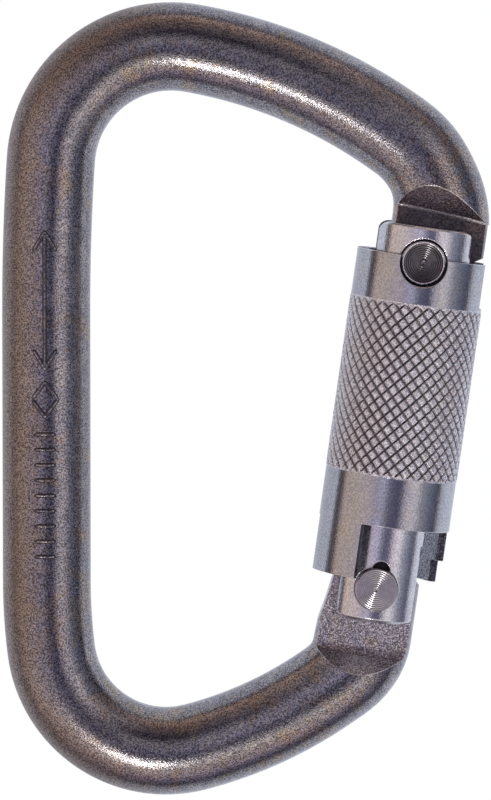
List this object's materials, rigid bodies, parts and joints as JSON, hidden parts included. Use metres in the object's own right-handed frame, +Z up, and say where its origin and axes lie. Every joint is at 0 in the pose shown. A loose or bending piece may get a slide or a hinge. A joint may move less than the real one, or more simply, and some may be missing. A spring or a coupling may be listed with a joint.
{
  "type": "locking carabiner",
  "caption": "Offset-D steel carabiner with a spring gate, a hooked nose on a latch pin, and a knurled sleeve that springs round the gate to lock it.",
  "frame": {"origin": "middle of the outline, on the surface the carabiner lies on", "axes": "lying flat: +Y up the long straight side towards the nose end, +X towards the gate, +Z up through the thickness"},
  "size_m": [0.07, 0.1144, 0.0191],
  "materials": {
    "bar_steel": "plated and tumbled forged steel, fine grain, warm tarnish",
    "gate_steel": "bright plated, satin",
    "sleeve_steel": "bright plated with a diamond knurl band",
    "pin_steel": "turned bright steel with tool rings",
    "spring_steel": "oiled spring steel"
  },
  "bodies": {
    "body": {"bar_body": "bar_steel"},
    "gate": {"gate": "gate_steel", "hinge_pin": "pin_steel", "latch_pin": "pin_steel", "seat_ring": "spring_steel", "gate_spring": "spring_steel", "sleeve_spring": "spring_steel"},
    "plunger": {"gate_plunger": "pin_steel"},
    "sleeve": {"lock_sleeve": "sleeve_steel", "thrust_washer": "spring_steel"}
  },
  "joints": [
    {"name": "gate_swing", "type": "hinge", "parent": "body", "child": "gate", "pos_m": [0.01874, -0.02678, 0.00955], "axis": [0, 0, 1], "range_deg": [0, 34], "stiffness_Nm_per_rad": 0.12, "springref_deg": -20.05},
    {"name": "sleeve_twist", "type": "hinge", "parent": "gate", "child": "sleeve", "pos_m": [0.01874, -0.02678, 0.00955], "axis": [0.1409, 0.99, 0], "range_deg": [0, 75], "stiffness_Nm_per_rad": 0.02, "springref_deg": -11.46},
    {"name": "plunger_slide", "type": "slide", "parent": "gate", "child": "plunger", "axis": [0.1409, 0.99, 0], "range_m": [0, 0.0013]}
  ],
  "couplings": [
    {"joint": "plunger_slide", "follows": "gate_swing", "m_per_rad": 0.0017189}
  ]
}
